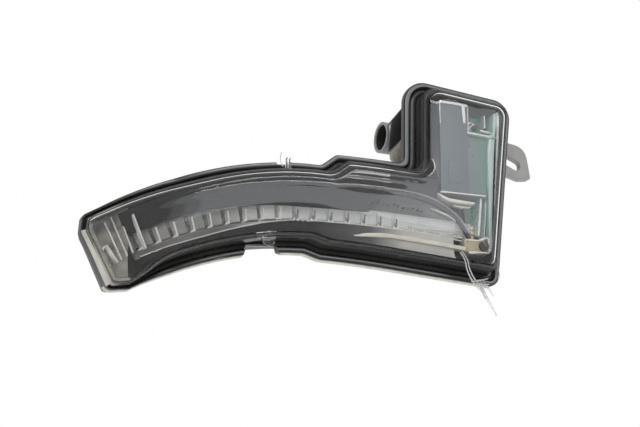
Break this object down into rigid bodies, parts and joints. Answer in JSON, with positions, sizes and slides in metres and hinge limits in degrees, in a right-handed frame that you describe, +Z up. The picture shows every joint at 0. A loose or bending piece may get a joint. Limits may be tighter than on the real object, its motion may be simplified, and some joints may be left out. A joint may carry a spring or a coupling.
{
  "type": "vehicle indicator lamp",
  "caption": "Curved door mirror indicator lamp with a clear lens over a toothed light guide, an upright tower, a rear connector tube and a slotted fixing ear.",
  "frame": {"origin": "middle of the fixing ear's slot, on the ear's rear face", "axes": "+X along the lamp from the arm's tip toward the ear, the lens faces -Y, +Z up"},
  "size_m": [0.2455, 0.0732, 0.1221],
  "materials": {
    "black_plastic": "satin black moulding",
    "clear_lens": "clear polished",
    "seal_bead": "matt",
    "seal_rubber": "matt",
    "clear_guide": "clear polished",
    "grey_reflector": "satin silver grey",
    "pale_reflector": "silvery white",
    "dark_trim": "satin dark",
    "grey_frame": "satin grey",
    "board_green": "lacquered laminate",
    "led_amber_white": "moulded resin",
    "chip_black": "matt",
    "ceramic_tan": "matt",
    "screw_black": "blackened",
    "cream_plastic": "satin",
    "grey_cover": "satin grey",
    "screw_steel": "zinc plated",
    "terminal_metal": "tinned"
  },
  "bodies": {
    "root": {"rear_housing": "black_plastic", "lens": "clear_lens", "lens_seal": "seal_bead", "rim_seal": "seal_rubber", "light_guide": "clear_guide", "guide_reflector": "grey_reflector", "tip_reflector": "pale_reflector", "upper_bezel": "dark_trim", "lower_bezel": "dark_trim", "tower_cover": "grey_frame", "circuit_board": "board_green", "indicator_leds": "led_amber_white", "driver_chip": "chip_black", "protection_diode": "chip_black", "resistors": "chip_black", "capacitors": "ceramic_tan", "board_screws": "screw_black", "guide_holder": "cream_plastic", "holder_screw": "screw_black", "rear_cover": "grey_cover", "cover_gasket": "seal_rubber", "cover_screws": "screw_steel", "terminal_carrier": "dark_trim", "connector_terminals": "terminal_metal", "vent_cap": "dark_trim"}
  },
  "joints": []
}
